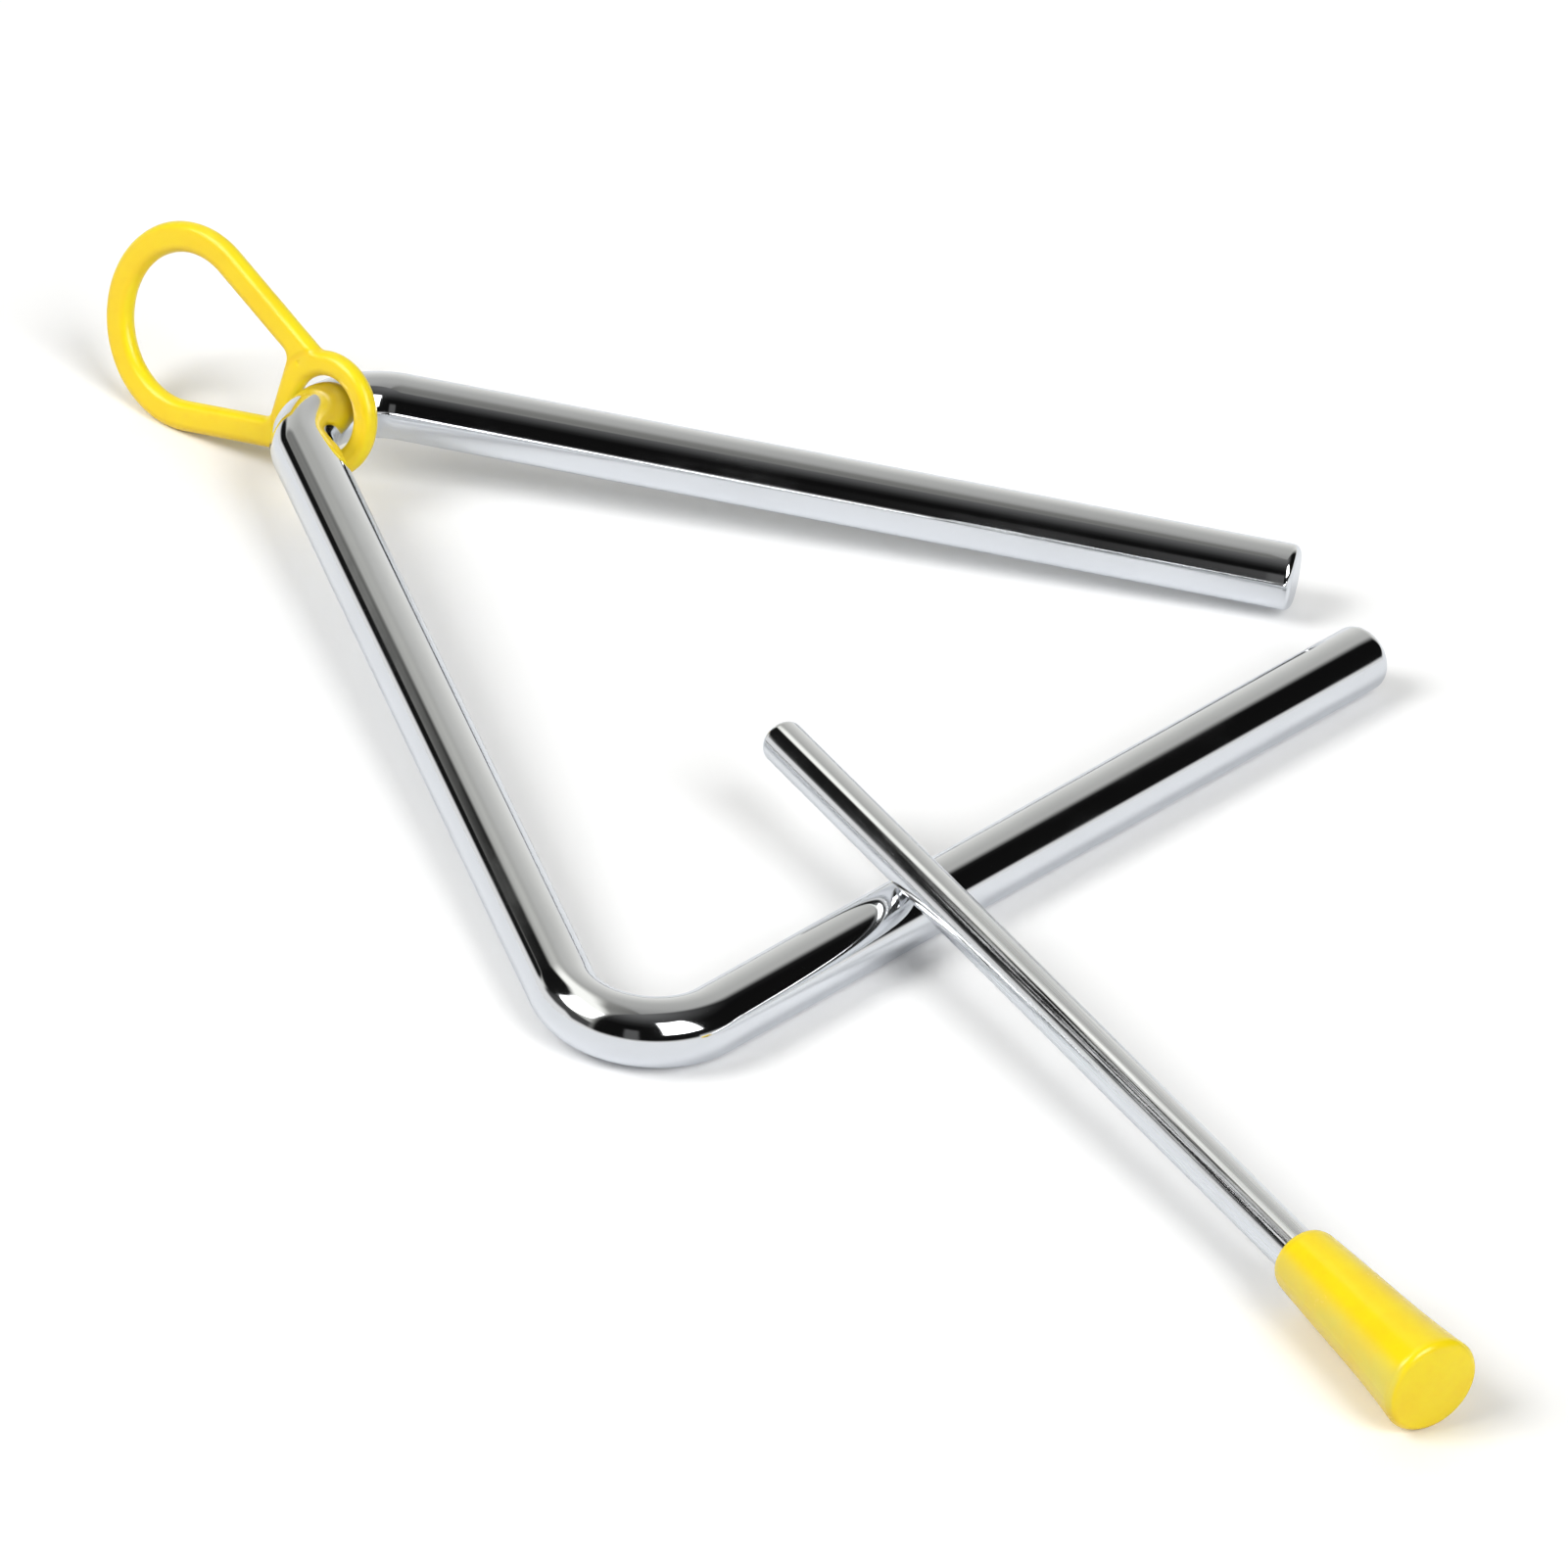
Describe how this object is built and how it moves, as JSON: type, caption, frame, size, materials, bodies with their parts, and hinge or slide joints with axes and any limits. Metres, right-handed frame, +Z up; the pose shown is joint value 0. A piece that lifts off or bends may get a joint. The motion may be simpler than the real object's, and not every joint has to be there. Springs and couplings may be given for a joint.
{
  "type": "triangle",
  "caption": "Steel bar bent to an open triangle, with a moulded finger hanger round its closed corner and a striking rod with a tapered grip.",
  "frame": {"origin": "on the table, under the middle of the low leg's centreline between its corner points", "axes": "+X along the low leg towards the open corner, +Y from the low leg towards the hanger's corner, +Z up from the table"},
  "size_m": [0.1345, 0.2567, 0.0248],
  "materials": {
    "chrome": "polished",
    "yellow_plastic": "semi-gloss"
  },
  "bodies": {
    "triangle": {"triangle_bar": "chrome"},
    "hanger": {"hanger": "yellow_plastic"},
    "beater": {"beater_rod": "chrome", "beater_grip": "yellow_plastic"}
  },
  "joints": [
    {"name": "hanger_swing", "type": "hinge", "parent": "triangle", "child": "hanger", "pos_m": [0, 0.11504, 0.01033], "axis": [1, 0, 0], "continuous": true},
    {"name": "beater_lift", "type": "slide", "parent": "triangle", "child": "beater", "axis": [0, 0, 1], "range_m": [0, 0.06]}
  ]
}
